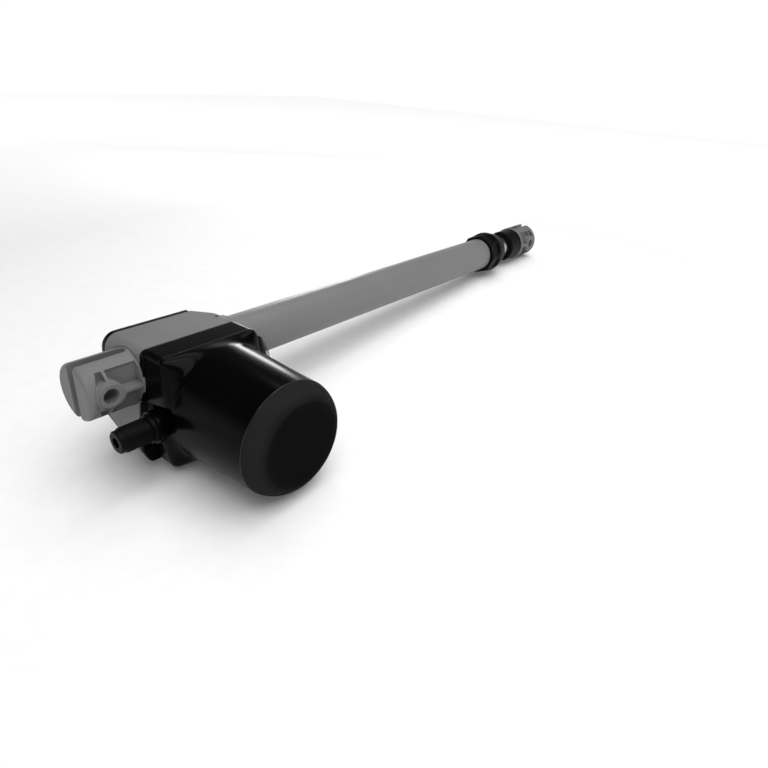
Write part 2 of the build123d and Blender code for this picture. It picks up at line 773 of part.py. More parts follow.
with BuildPart() as motor_rear_bell:
    ring_y(can_end, rear_bell_end, can_radius)
    ring_y(can_end + 1, rear_bell_end + 1, 11 + slip_gap, mode=Mode.SUBTRACT)
    for bolt_x, bolt_z in through_bolts:
        ring_y(can_end + 1, rear_bell_end - 1, 1.5 + slip_gap, x=bolt_x, z=bolt_z, mode=Mode.SUBTRACT)
keep("motor_rear_bell", motor_rear_bell)

with BuildPart() as motor_through_bolts:
    for bolt_x, bolt_z in through_bolts:
        ring_y(-21.2, rear_bell_end, 1.5, x=bolt_x, z=bolt_z)
        ring_y(rear_bell_end, rear_bell_end - 2.5, 3, x=bolt_x, z=bolt_z)
keep("motor_through_bolts", motor_through_bolts)

with BuildPart() as motor_bearing_outer_rings:
    ring_y(-19.6, can_start + 0.1, 11, 9)
    ring_y(can_end + 1.2, rear_bell_end + 1.1, 11, 9)
keep("motor_bearing_outer_rings", motor_bearing_outer_rings)

with BuildPart() as motor_bearing_inner_rings:
    ring_y(-19.6, can_start + 0.1, 6.2, motor_shaft_radius + slip_gap)
    ring_y(can_end + 1.2, rear_bell_end + 1.3, 6.2, motor_shaft_radius + slip_gap)
keep("motor_bearing_inner_rings", motor_bearing_inner_rings)

# Motor cover
# A rim on the seam, a slanted body that blends into a slightly conical bell, a fairing beside
# the tube and a scoop in the rear wall, in which the cable gland stands.
flange_face = case_inner_side - gasket_thickness
rim_end = -24.0
body_end = -43.0
blend_ease = 3.0
body_corners = [
    (case_front, case_top, 6.0),
    (31.0, case_top, 6.0),
    (24.5, -45.0, 6.0),
    (32.0, case_bottom, 6.0),
    (case_front, case_bottom, 7.0),
]


def bell_radius(y):
    """Radius of the bell, which widens towards the body."""
    return cover_radius + cover_draft * (y - cover_seam) / (bell_start - cover_seam)


def bell_section(y, inset):
    """Round section of the cover, cut into ten arcs that match the corners and sides of the body."""
    with BuildSketch(Plane.XZ.offset(-y)) as section:
        with BuildLine():
            angles = [degrees(atan2(z - motor_z, x - motor_x)) % 360 for x, z, corner in body_corners]
            radius = bell_radius(y) - inset
            for angle, following in zip(angles, angles[1:] + angles[:1]):
                CenterArc((motor_x, motor_z), radius, angle - 4, 8)
                CenterArc((motor_x, motor_z), radius, angle + 4, (following - angle) % 360 - 8)
        make_face()
    return section.sketch.face()


def cover_form(inset, bell_end):
    """Body, blend and bell as one solid, shrunk by the inset."""
    with BuildPart() as form:
        extrude(outline_y(flange_face, body_corners, inset), amount=flange_face - body_end)
        loft([
            outline_y(body_end, body_corners, inset),
            outline_y(body_end - blend_ease, body_corners, inset),
            bell_section(bell_start + blend_ease, inset),
            bell_section(bell_start, inset),
        ])
        loft([bell_section(bell_start, inset), bell_section(bell_end, inset)], ruled=True)
    return form.part


def fairing_form(inset):
    """Fairing beside the tube, from its root on the bell to its wide end at the seam."""
    wide = [(112, 10, 5), (146, 10, 5), (156, -10, 5), (150, -34, 5), (112, -50, 5)]
    root = [(112, 8, 5), (124, 8, 5), (129, -10, 5), (126, -34, 5), (112, -48, 5)]
    with BuildPart() as form:
        loft([outline_y(flange_face, wide, inset), outline_y(-30.0, wide, inset)], ruled=True)
        loft([outline_y(-30.0, wide, inset), outline_y(bell_start, root, inset)], ruled=True)
    return form.part


def scoop_form(margin, depth):
    """Hollow of the rear wall round the gland, grown by the margin."""
    with BuildPart() as form:
        with BuildSketch(Plane.YZ.offset(8)):
            with BuildLine():
                Polyline((-12, -17), (-41, -13), (-57, -10), (-66, -20), (-60, -27), (-47, -44), (-30, -52),
                         (-12, -55), close=True)
            make_face()
            if margin:
                offset(amount=margin)
        extrude(amount=depth - 8)
    return form.part


scoop_floor = 35.0
outer_form = cover_form(0.0, cover_seam)
with BuildPart() as screw_towers:
    for x, z in rear_cover_screws:
        ring_y(flange_face, -38, 6.0, x=x, z=z)
    for x, z in front_cover_screws:
        ring_y(flange_face, -58, 6.5, x=x, z=z)
    add(outer_form, mode=Mode.INTERSECT)

with BuildPart() as cover_cavity:
    add(cover_form(cover_wall, cover_seam - 1))
    add(fairing_form(cover_wall))
    ring_x(motor_x + can_radius + 1.5, 160, boss_outer + 0.6 + cover_wall, mode=Mode.SUBTRACT)
    ring_x(10, clevis_base + 0.4 + cover_wall, clevis_radius + 0.5 + cover_wall, mode=Mode.SUBTRACT)
    add(scoop_form(cover_wall, scoop_floor + cover_wall), mode=Mode.SUBTRACT)

with BuildPart() as motor_cover:
    add(outer_form)
    extrude(outline_y(flange_face, seam_corners), amount=flange_face - rim_end)
    add(fairing_form(0.0))
    add(scoop_form(0.0, scoop_floor), mode=Mode.SUBTRACT)
    ring_x(gland_seat, scoop_floor + cover_wall, 14, y=gland_y, z=gland_z)
    add(cover_cavity.part, mode=Mode.SUBTRACT)
    add(screw_towers.part)
    ring_x(95, lip_end + 0.5, boss_outer + 0.6, mode=Mode.SUBTRACT)
    ring_x(lip_end, 160, tube_radius + 0.8, mode=Mode.SUBTRACT)
    ring_x(10, clevis_base + 0.4, clevis_radius + 0.5, mode=Mode.SUBTRACT)
    ring_x(gland_seat - 1, scoop_floor + cover_wall + 1, gland_thread + slip_gap, y=gland_y, z=gland_z,
           mode=Mode.SUBTRACT)
    ring_x(gland_seat + 4, scoop_floor + cover_wall + 1, 11.9, y=gland_y, z=gland_z, mode=Mode.SUBTRACT)
    for x, z in rear_cover_screws:
        ring_y(flange_face + 1, -33, 2.2, x=x, z=z, mode=Mode.SUBTRACT)
    for x, z in front_cover_screws:
        ring_y(flange_face + 1, -32, 2.2, x=x, z=z, mode=Mode.SUBTRACT)
        ring_y(-30, -72, 4.2, x=x, z=z, mode=Mode.SUBTRACT)
keep("motor_cover", motor_cover)

with BuildPart() as cover_gasket:
    with BuildSketch(Plane.XZ.offset(-case_inner_side)):
        add(outline_y(case_inner_side, seam_corners, 0.6))
        add(outline_y(case_inner_side, body_corners, 3.6), mode=Mode.SUBTRACT)
        with Locations(*rear_cover_screws, *front_cover_screws):
            Circle(5.5)
        with Locations(*rear_cover_screws, *front_cover_screws):
            Circle(2.4, mode=Mode.SUBTRACT)
        with Locations((118, 0)):
            Rectangle(40, 38, mode=Mode.SUBTRACT)
        with Locations((clevis_base - 10, 0)):
            Rectangle(21, 35, mode=Mode.SUBTRACT)
    extrude(amount=gasket_thickness)
keep("cover_gasket", cover_gasket)

with BuildPart() as cover_screw_set:
    for x, z in rear_cover_screws:
        socket_screw_y(x, z, rear_screw_seat, -31)
    for x, z in front_cover_screws:
        socket_screw_y(x, z, -30, -10.6)
keep("cover_screws", cover_screw_set)

# End cap: a spigot in the bell, a rounded shoulder and a flat face, which is left bare
spigot_radius = cover_bore - slip_gap
face_radius = cover_radius - cap_rounding
with BuildPart() as end_cap:
    with BuildSketch(Plane.XY.offset(motor_z)):
        with BuildLine():
            Polyline(
                (motor_x, cover_seam + cap_spigot),
                (motor_x + spigot_radius, cover_seam + cap_spigot),
                (motor_x + spigot_radius, cover_seam - 0.1),
                (motor_x + cover_radius, cover_seam - 0.1),
            )
            ThreePointArc(
                (motor_x + cover_radius, cover_seam - 0.1),
                (motor_x + cover_radius - 2.8, cover_seam - cap_depth / 2),
                (motor_x + face_radius, cap_end),
            )
            Polyline(
                (motor_x + face_radius, cap_end),
                (motor_x + face_radius - 1.0, cap_end + cap_face_recess),
                (motor_x, cap_end + cap_face_recess),
                (motor_x, cover_seam + cap_spigot),
            )
        make_face()
    revolve(axis=Axis((motor_x, 0, motor_z), (0, 1, 0)))
    ring_y(cover_seam + cap_spigot + 1, cap_end + 4, face_radius - 1.5, mode=Mode.SUBTRACT)
    ring_y(cover_seam + 4.6, cover_seam + 2.4, cover_radius, cover_bore - 1.4, mode=Mode.SUBTRACT)
keep("end_cap", end_cap)

with BuildPart() as end_cap_seal:
    ring_y(cover_seam + 4.5, cover_seam + 2.5, cover_bore - 0.02, cover_bore - 1.35)
keep("end_cap_seal", end_cap_seal)

# Cable gland
with BuildPart() as gland_body:
    ring_x(gland_seat - 4, gland_seat, 12.2, 4.8, y=gland_y, z=gland_z)
    ring_x(gland_seat - 18, gland_seat - 4, 7.6, 5.6, y=gland_y, z=gland_z)
    ring_x(gland_seat, gland_seat + 9, gland_thread, 4.8, y=gland_y, z=gland_z)
keep("gland_body", gland_body)

with BuildPart() as gland_lock_nut:
    hex_x(gland_seat + 4.2, gland_seat + 7.7, 20, bore=gland_thread + slip_gap, y=gland_y, z=gland_z)
keep("gland_lock_nut", gland_lock_nut)

with BuildPart() as gland_cap_nut:
    ring_x(gland_seat - 26, gland_seat - 4.4, 10.3, 7.7, y=gland_y, z=gland_z)
    ring_x(gland_seat - 31, gland_seat - 26, 9.6, 4.6, y=gland_y, z=gland_z)
    chamfer(gland_cap_nut.faces().sort_by(Axis.X)[0].outer_wire().edges(), 1.0)
keep("gland_cap_nut", gland_cap_nut)

with BuildPart() as gland_sleeve:
    ring_x(gland_seat - 25.9, gland_seat - 18.1, 7.5, 4.6, y=gland_y, z=gland_z)
    ring_x(gland_seat - 18.1, gland_seat - 8, 5.5, 4.2, y=gland_y, z=gland_z)
keep("gland_sleeve", gland_sleeve)

for name, piece in pieces.items():
    export_step(piece, "parts/" + name + ".step")
print("pieces", len(pieces))
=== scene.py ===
# %% [markdown]
# # A swing gate actuator, dressed for the camera
# The frame below comes from the engineering model: a worm gear motor in a black moulded cover, a
# cast gearbox, a long grey tube and a chromed push rod with a clevis at each end. Nothing in it is
# moved here. This lesson gives each piece its finish, adds what is too fine for the model, and sets
# a soft studio around it. The frame is loaded first, because every size below is read from it.

# %% Load the frame
import bmesh
import bpy
import json
from math import cos, pi, sin, sqrt
from mathutils import Matrix, Vector


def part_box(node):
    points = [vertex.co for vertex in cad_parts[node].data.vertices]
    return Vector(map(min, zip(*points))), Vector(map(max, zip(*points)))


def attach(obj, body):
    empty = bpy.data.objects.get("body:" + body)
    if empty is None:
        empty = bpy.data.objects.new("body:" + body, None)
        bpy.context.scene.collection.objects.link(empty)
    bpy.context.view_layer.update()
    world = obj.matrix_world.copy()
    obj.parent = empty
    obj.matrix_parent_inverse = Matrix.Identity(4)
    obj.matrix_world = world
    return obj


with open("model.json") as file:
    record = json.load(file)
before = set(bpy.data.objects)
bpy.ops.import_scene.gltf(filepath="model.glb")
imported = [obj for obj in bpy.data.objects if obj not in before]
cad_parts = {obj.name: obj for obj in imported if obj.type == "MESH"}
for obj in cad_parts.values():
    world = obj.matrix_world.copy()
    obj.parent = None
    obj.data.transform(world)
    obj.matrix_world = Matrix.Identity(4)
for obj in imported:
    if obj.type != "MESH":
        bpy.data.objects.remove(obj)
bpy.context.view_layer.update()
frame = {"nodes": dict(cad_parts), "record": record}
nodes = frame["nodes"]
print("frame", len(nodes), "pieces")

# %% [markdown]
# ## Camera
# The photograph looks down on the motor end from close by, so the tube shrinks quickly towards the
# far clevis. A long lens from far away would flatten that, and a short lens close to the object
# gives it. The three directions below were worked out from the clevis bores and from the straight
# edges of the tube. A camera looks along its own -Z, so forward is turned round in the matrix.

# %% Camera
camera_data = bpy.data.cameras.new("studio_camera")
camera_data.sensor_width = 36.0
camera_data.lens = 27.66
camera_data.clip_start = 0.01
camera_data.clip_end = 30.0
camera = bpy.data.objects.new("studio_camera", camera_data)
bpy.context.scene.collection.objects.link(camera)
camera_right = Vector((0.6257, -0.7778, 0.0600)).normalized()
camera_forward = Vector((0.7054, 0.5312, -0.4692)).normalized()
camera_up = camera_right.cross(camera_forward).normalized()
camera_forward = camera_up.cross(camera_right).normalized()
camera_axes = Matrix((camera_right, camera_up, -camera_forward)).transposed()
camera_place = Vector((-0.1894, -0.4319, 0.2383))
camera.matrix_world = Matrix.Translation(camera_place) @ camera_axes.to_4x4()
bpy.context.scene.camera = camera
print("camera", camera_data.lens, "mm, at", [round(v, 3) for v in camera_place])

# %% [markdown]
# ## What all finishes share
# A flat colour never looks like a real surface. Every finish here is a small node tree: a base
# colour that drifts a little, a roughness that drifts with it, and a fine bump. The drift comes from
# noise in object coordinates, so it stays on the piece when the piece moves, and no picture is
# needed. The helpers below make one such part of a tree each.


# %% Parts of a node tree
def blank_finish(name):
    """An empty node tree with its shader, and the object coordinates that every finish uses."""
    finish = bpy.data.materials.new(name)
    finish.use_nodes = True
    tree = finish.node_tree
    shader = tree.nodes["Principled BSDF"]
    coordinates = tree.nodes.new("ShaderNodeTexCoord")
    return finish, tree, shader, coordinates.outputs["Object"]


def cloud(tree, coordinates, scale, detail=3.0, stretch=(1, 1, 1)):
    """Noise at a scale in cycles per metre, stretched along an axis where that is asked."""
    mapping = tree.nodes.new("ShaderNodeMapping")
    mapping.inputs["Scale"].default_value = stretch
    tree.links.new(coordinates, mapping.inputs["Vector"])
    texture = tree.nodes.new("ShaderNodeTexNoise")
    texture.inputs["Scale"].default_value = scale
    texture.inputs["Detail"].default_value = detail
    tree.links.new(mapping.outputs["Vector"], texture.inputs["Vector"])
    return texture.outputs["Fac"]


def two_tones(tree, factor, low, high, start=0.35, end=0.65):
    """Two colours or greys spread over part of a factor's range."""
    mixer = tree.nodes.new("ShaderNodeValToRGB")
    mixer.color_ramp.elements[0].position = start
    mixer.color_ramp.elements[1].position = end
    mixer.color_ramp.elements[0].color = (*low, 1.0)
    mixer.color_ramp.elements[1].color = (*high, 1.0)
    tree.links.new(factor, mixer.inputs["Fac"])
    return mixer.outputs["Color"]


def tinted(colour, amount):
    """The same colour, lighter or darker by a factor."""
    return tuple(min(1.0, part * amount) for part in colour)


def drifting_colour(tree, shader, factor, colour, low, high, start=0.35, end=0.65):
    """The base colour, between two tints of one colour."""
    tone = two_tones(tree, factor, tinted(colour, low), tinted(colour, high), start, end)
    tree.links.new(tone, shader.inputs["Base Color"])


def drifting_gloss(tree, shader, factor, rough, low, high):
    """The roughness, between two shares of one value."""
    gloss = two_tones(tree, factor, (rough * low,) * 3, (rough * high,) * 3)
    tree.links.new(gloss, shader.inputs["Roughness"])


def soft_edges(tree, radius):
    """Normals that turn over a small radius at every edge, as on a cast or moulded piece."""
    rounding = tree.nodes.new("ShaderNodeBevel")
    rounding.samples = 6
    rounding.inputs["Radius"].default_value = radius
    return rounding.outputs["Normal"]


def relief(tree, shader, height, distance, strength, below=None):
    """A bump from a height field, laid over an earlier bump where one is given."""
    bump = tree.nodes.new("ShaderNodeBump")
    bump.inputs["Strength"].default_value = strength
    bump.inputs["Distance"].default_value = distance
    tree.links.new(height, bump.inputs["Height"])
    if below is not None:
        tree.links.new(below, bump.inputs["Normal"])
    tree.links.new(bump.outputs["Normal"], shader.inputs["Normal"])
    return bump.outputs["Normal"]


# %% [markdown]
# ## Grey powder coat
# The gearbox, both clevises and the tube are powder coated in one mid grey. The castings are a
# little darker and rougher than the drawn tube, and their edges are visibly rounded. Two bumps lie
# over each other: a broad one for the skin of the casting and a fine one for the grain of the
# powder. The specular level is kept low, because powder coat scatters most of its light.


# %% Coated skin
def coated_skin(name, colour, rough, grain, depth, drift=0.06, specular=0.4, edge=0.0006):
    """Paint, powder coat or moulded plastic; grain is in cycles per metre, depth in metres."""
    finish, tree, shader, coordinates = blank_finish(name)
    broad = cloud(tree, coordinates, 24.0, 4.0)
    fine = cloud(tree, coordinates, grain, 2.0)
    drifting_colour(tree, shader, broad, colour, 1 - drift, 1 + drift, 0.3, 0.7)
    drifting_gloss(tree, shader, broad, rough, 0.92, 1.1)
    wave = relief(tree, shader, broad, 0.0002, 0.3, soft_edges(tree, edge))
    relief(tree, shader, fine, depth, 0.6, wave)
    shader.inputs["Specular IOR Level"].default_value = specular
    return finish


finishes = {}
finishes["grey_casting"] = coated_skin(
    "grey_powder_coat",
    colour=(0.145, 0.145, 0.146), rough=0.50, grain=900.0, depth=0.00006, specular=0.25, edge=0.0011,
)
finishes["grey_tube"] = coated_skin(
    "grey_tube_coat",
    colour=(0.165, 0.165, 0.166), rough=0.42, grain=1100.0, depth=0.00003, drift=0.03, specular=0.25,
)
print("grey coats", len(finishes))

# %% [markdown]
# ## Black mouldings and rubber
# The motor cover is a glossy moulding, and the nuts and the gland are matt ones. The side cover is
# painted. In the photograph all of them stay close to black between narrow lights. A normal
# specular level would turn them grey here, as the pale paper reflects in them, so it is set far
# lower. At a glancing angle the gloss still comes back, and that draws the lit edge of the cover.

# %% Black mouldings and rubber
finishes["gloss_black"] = coated_skin(
    "gloss_black_moulding",
    colour=(0.0012, 0.0012, 0.0013), rough=0.18, grain=700.0, depth=0.00001,
    drift=0.1, specular=0.05, edge=0.0012,
)
finishes["matt_black"] = coated_skin(
    "matt_black_moulding",
    colour=(0.0028, 0.0028, 0.0029), rough=0.42, grain=900.0, depth=0.00004,
    drift=0.1, specular=0.055,
)
finishes["black_cover_paint"] = coated_skin(
    "black_cover_paint",
    colour=(0.0022, 0.0022, 0.0023), rough=0.38, grain=800.0, depth=0.00005,
    drift=0.1, specular=0.08,
)
finishes["rubber"] = coated_skin(
    "seal_rubber", colour=(0.006, 0.006, 0.006), rough=0.65, grain=1200.0, depth=0.00004,
)
print("with the blacks", len(finishes))

# %% [markdown]
# ## Plastics and carbon inside
# Bushes and guides are white acetal, the magnets are dark ferrite and the brushes are carbon. They
# are hidden while the housing is closed, but anyone who opens the part sees them. The same helper
# serves, since all three have a dull skin with a fine grain.

# %% Plastics and carbon inside
finishes["white_plastic"] = coated_skin(
    "acetal_plastic", colour=(0.72, 0.72, 0.70), rough=0.42, grain=600.0, depth=0.00003,
)
finishes["magnet"] = coated_skin(
    "ferrite_magnet", colour=(0.045, 0.043, 0.042), rough=0.55, grain=900.0, depth=0.00004,
)
finishes["carbon"] = coated_skin(
    "brush_carbon", colour=(0.020, 0.020, 0.021), rough=0.60, grain=1500.0, depth=0.00005,
)
print("with the inner plastics", len(finishes))

# %% [markdown]
# ## Bare metals
# A turned or ground bar keeps faint rings across its axis. Anisotropic shading could stand for
# them, but noise that is squeezed along the axis shows them at any distance and also breaks up the
# gloss. The chromed rod has the smoothest marks, and it is dark between its lights, as it mirrors
# the studio. The same noise with a deeper bump serves for the windings and the lamination stack.


# %% Turned metal
def turned_metal(name, colour, rough, axis, depth=0.00002, drift=0.05):
    """Machined or plated metal with faint tool marks across the given axis."""
    finish, tree, shader, coordinates = blank_finish(name)
    stretch = [6.0, 6.0, 6.0]
    stretch["XYZ".index(axis)] = 260.0
    marks = cloud(tree, coordinates, 6.0, 5.0, stretch)
    stain = cloud(tree, coordinates, 40.0, 3.0)
    drifting_colour(tree, shader, stain, colour, 1 - drift, 1 + drift)
    drifting_gloss(tree, shader, marks, rough, 0.75, 1.3)
    relief(tree, shader, marks, depth, 0.5, soft_edges(tree, 0.0003))
    shader.inputs["Metallic"].default_value = 1.0
    return finish


finishes["chrome"] = turned_metal("chromed_rod", (0.46, 0.46, 0.47), 0.17, "X", 0.000006)
finishes["steel"] = turned_metal("bright_steel", (0.50, 0.50, 0.51), 0.28, "X")
finishes["zinc_screw"] = turned_metal("zinc_plated_screw", (0.55, 0.55, 0.53), 0.30, "Y")
finishes["bronze"] = turned_metal("gear_bronze", (0.62, 0.40, 0.18), 0.32, "X")
finishes["aluminium"] = turned_metal("cast_aluminium", (0.60, 0.61, 0.62), 0.38, "Y", 0.00004)
finishes["copper"] = turned_metal("winding_copper", (0.72, 0.32, 0.14), 0.30, "Y", 0.00006)
finishes["core_steel"] = turned_metal("lamination_steel", (0.30, 0.30, 0.31), 0.45, "Y", 0.00008)
print("with the metals", len(finishes))

# %% [markdown]
# ## Every piece gets its finish
# The record says what each piece is made of, as a slot name. The finishes are kept under the same
# names, so one loop dresses the whole actuator and no piece can be forgotten.

# %% Dress the pieces
for row in frame["record"]["subparts"]:
    mesh = nodes[row["node"]].data
    mesh.materials.clear()
    mesh.materials.append(finishes[row["material_slot"]])

# %% [markdown]
# ## Thread of the lead screw
# The screw moves the rod 10 mm in a turn. It has a two-start thread, so its crests lie 5 mm apart.
# Cutting that into the mesh would cost tens of thousands of faces for a piece inside the tube. A
# band texture along the axis gives the same rings of light as a bump, so that is used.


# %% Thread of the lead screw
def cut_thread(name, colour, rough, axis, pitch, depth):
    """Cut thread, as rings of the given pitch across the axis."""
    finish, tree, shader, coordinates = blank_finish(name)
    bands = tree.nodes.new("ShaderNodeTexWave")
    bands.bands_direction = axis
    bands.inputs["Scale"].default_value = 2 * pi / (20 * pitch)
    bands.inputs["Distortion"].default_value = 0.0
    tree.links.new(coordinates, bands.inputs["Vector"])
    stain = cloud(tree, coordinates, 40.0, 3.0)
    drifting_colour(tree, shader, stain, colour, 0.9, 1.08)
    drifting_gloss(tree, shader, stain, rough, 0.8, 1.2)
    relief(tree, shader, bands.outputs["Fac"], depth, 1.0)
    shader.inputs["Metallic"].default_value = 1.0
    return finish


screw_thread = cut_thread("lead_screw_thread", (0.50, 0.50, 0.51), 0.30, "X", pitch=0.005, depth=0.0008)
nodes["lead_screw"].data.materials[0] = screw_thread
print("thread on", nodes["lead_screw"].name)

# %% [markdown]
# ## Skin of the end cap, with painted shade
# The cap that closes the motor cover has a dull, textured skin. Its colour carries painted shade: the
# flat face in the middle is painted darker than the rounded shoulder, which stands in for the light
# that falls on the shoulder from above. The distance from the cap's axis drives that change: it is
# measured in object coordinates with the axis flattened out, and it multiplies the colour of the skin.

# %% Skin of the end cap
cap_low, cap_high = (Vector(corner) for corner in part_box("end_cap"))
cap_x, cap_z = (cap_low.x + cap_high.x) / 2, (cap_low.z + cap_high.z) / 2
cap_radius = (cap_high.z - cap_low.z) / 2
disc_radius, shoulder_radius = cap_radius - 0.0155, cap_radius - 0.0065
cap_skin = coated_skin(
    "textured_cap_painted_shade",
    colour=(0.0160, 0.0160, 0.0161), rough=0.60, grain=1300.0, depth=0.00005,
    drift=0.12, specular=0.005, edge=0.0012,
)
tree = cap_skin.node_tree
shader = tree.nodes["Principled BSDF"]
flat = tree.nodes.new("ShaderNodeVectorMath")
flat.operation = "MULTIPLY"
flat.inputs[1].default_value = (1.0, 0.0, 1.0)
tree.links.new(tree.nodes["Texture Coordinate"].outputs["Object"], flat.inputs[0])
off_axis = tree.nodes.new("ShaderNodeVectorMath")
off_axis.operation = "DISTANCE"
off_axis.inputs[1].default_value = (cap_x, 0.0, cap_z)
tree.links.new(flat.outputs["Vector"], off_axis.inputs[0])
# Painted shade: the flat face keeps 0.30 of the skin colour and the shoulder keeps all of it, standing
# in for light from above.
painted_face_shade = two_tones(tree, off_axis.outputs["Value"], (0.30,) * 3, (1.0,) * 3, disc_radius, shoulder_radius)
painted_shade_multiply = tree.nodes.new("ShaderNodeMix")
painted_shade_multiply.data_type, painted_shade_multiply.blend_type = "RGBA", "MULTIPLY"
painted_shade_multiply.inputs["Factor"].default_value = 1.0
skin_tone = shader.inputs["Base Color"].links[0].from_socket
tree.links.new(skin_tone, painted_shade_multiply.inputs["A"])
tree.links.new(painted_face_shade, painted_shade_multiply.inputs["B"])
tree.links.new(painted_shade_multiply.outputs["Result"], shader.inputs["Base Color"])
nodes["end_cap"].data.materials[0] = cap_skin
print("cap disc", round(disc_radius, 4), "to shoulder", round(shoulder_radius, 4))

# %% [markdown]
# ## How small pieces are made
# A few forms are too fine for the engineering model: grip ribs, a lip in a seam and webs between
# ribs. Each is built in bmesh from points that come from the size of its neighbour, so it fits
# without being placed by eye. Most of them are bars between two loops of points. Every small piece
# takes its finish from a slot and rides on the body that carries it, so it moves with that body.


# %% Helpers for small pieces
def small_piece(name, mesh_data, slot_name, body):
    """Turns mesh data into a piece with the slot's finish that rides on a body."""
    mesh = bpy.data.meshes.new(name)
    bmesh.ops.recalc_face_normals(mesh_data, faces=mesh_data.faces)
    mesh_data.to_mesh(mesh)
    mesh_data.free()
    mesh.materials.append(finishes[slot_name])
    piece = bpy.data.objects.new(name, mesh)
    bpy.context.scene.collection.objects.link(piece)
    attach(piece, body)
    return piece


def bar_between(mesh_data, start_loop, end_loop):
    """Closed bar between two loops with the same number of points."""
    first = [mesh_data.verts.new(point) for point in start_loop]
    last = [mesh_data.verts.new(point) for point in end_loop]
    count = len(first)
    mesh_data.faces.new(first)
    mesh_data.faces.new(last)
    for i in range(count):
        mesh_data.faces.new((first[i], first[(i + 1) % count], last[(i + 1) % count], last[i]))


# %% [markdown]
# ## Grip ribs on the gland's cap nut
# The nut that closes the cable gland is turned by hand, so its barrel has fine ribs along it. They
# are less than half a millimetre high. A bump would not break the outline of the nut, so each rib
# is a small closed bar, wider at its root than at its crown, and sunk a little into the barrel.

# %% Grip ribs of the gland's cap nut
nut_low, nut_high = (Vector(corner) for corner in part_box("gland_cap_nut"))
nut_middle = Vector((0, (nut_low.y + nut_high.y) / 2, (nut_low.z + nut_high.z) / 2))
nut_radius = (nut_high.z - nut_low.z) / 2
rib_start, rib_end = nut_low.x + 0.0056, nut_high.x - 0.0010
rib_count = 24
root, crown = (-0.0002, 0.00062), (0.00038, 0.00040)
ribs = bmesh.new()
for i in range(rib_count):
    turn = 2 * pi * i / rib_count
    along = Vector((0, cos(turn), sin(turn)))
    across = Vector((0, -sin(turn), cos(turn)))
    profile = []
    for height, half in (root, crown, (crown[0], -crown[1]), (root[0], -root[1])):
        profile.append(nut_middle + along * (nut_radius + height) + across * half)
    bar_between(
        ribs,
        [point + Vector((rib_start, 0, 0)) for point in profile],
        [point + Vector((rib_end, 0, 0)) for point in profile],
    )
small_piece("gland_grip_ribs", ribs, "matt_black", "housing")
print("grip ribs", rib_count, "from", round(rib_start, 4), "to", round(rib_end, 4))

# %% [markdown]
# ## Lip in the seam of the end cap
# Where the cap meets the motor cover, a thin polished lip catches a line of light. It is a ring of
# half a millimetre. A curve with a bevel would do, but a ring of points gives full control of its
# facets and needs no conversion for the export. It has its own, glossier finish.

# %% Lip in the seam of the end cap
seam_y = cap_low.y + 0.0155
turns, sides, lip_radius = 160, 8, 0.00028
lip = bmesh.new()
rings = []
for i in range(turns):
    turn = 2 * pi * i / turns
    out = Vector((cos(turn), 0, sin(turn)))
    centre = Vector((cap_x, seam_y, cap_z)) + out * (cap_radius - 0.0001)
    ring = []
    for j in range(sides):
        lean = 2 * pi * j / sides
        offset = out * (lip_radius * cos(lean)) + Vector((0, lip_radius * sin(lean), 0))
        ring.append(lip.verts.new(centre + offset))
    rings.append(ring)
for i in range(turns):
    here, following = rings[i], rings[(i + 1) % turns]
    for j in range(sides):
        k = (j + 1) % sides
        lip.faces.new((here[j], here[k], following[k], following[j])).smooth = True
seam = small_piece("cap_seam_bead", lip, "gloss_black", "housing")
seam.data.materials[0] = coated_skin(
    "polished_seam_lip",
    colour=(0.003, 0.003, 0.003), rough=0.16, grain=700.0, depth=0.00001, drift=0.1, specular=0.6,
)
print("seam lip at y", round(seam_y, 4), "radius", round(cap_radius, 4))

# %% [markdown]
# ## Webs beside the clevis bosses
# Each clevis is a round casting with pockets that leave ribs round the boss of the pin. Between the
# boss and the nose the metal runs on, so the small pocket there is a closed one. The web is built
# from the curve of the boss on one side and the line of the nose on the other, and its crown
# follows the round outside of the casting. The same web serves four times on each clevis.


# %% Webs beside the clevis bosses
pin_to_tip, boss_radius, pocket_floor = 0.0178, 0.0118, 0.0138
web_low, web_high, arc_steps = 0.0008, 0.0110, 6


def clevis_webs(name, node, body, facing):
    """Fills the gap between the boss and the nose; facing is -1 where the nose points to -X."""
    low, high = (Vector(corner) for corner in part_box(node))
    radius = (high.z - low.z) / 2
    tip = low.x if facing < 0 else high.x
    pin = tip - facing * pin_to_tip
    outline = [(0.0128, web_low), (0.0128, 0.0050), (0.0103, web_high), (0.0044, web_high)]
    for step in range(1, arc_steps + 1):
        z = web_high - step * (web_high - web_low) / arc_steps
        outline.append((sqrt(boss_radius ** 2 - z ** 2), z))
    webs = bmesh.new()
    for side in (-1, 1):
        for half in (-1, 1):
            floor, crown = [], []
            for back, z in outline:
                x = pin + facing * back
                floor.append((x, side * pocket_floor, half * z))
                crown.append((x, side * (sqrt(radius ** 2 - z ** 2) + 0.00002), half * z))
            bar_between(webs, floor, crown)
    small_piece(name, webs, "grey_casting", body)
    print(name, "radius", round(radius, 4), "pin at x", round(pin, 4))


clevis_webs("rear_clevis_webs", "rear_clevis", "housing", -1)
clevis_webs("front_clevis_webs", "front_clevis", "clevis", 1)

# %% [markdown]
# ## Paper under the actuator
# The actuator lies on a wide sheet of pale paper. It rests on the release dial and on the far
# clevis, so the paper rises a few degrees along the tube. Beyond the clevis the paper runs level
# with the rod, which leaves room for the clevis when the rod is out. The sheet is a few flat strips
# with smooth shading, so the bend between them doesn't show.

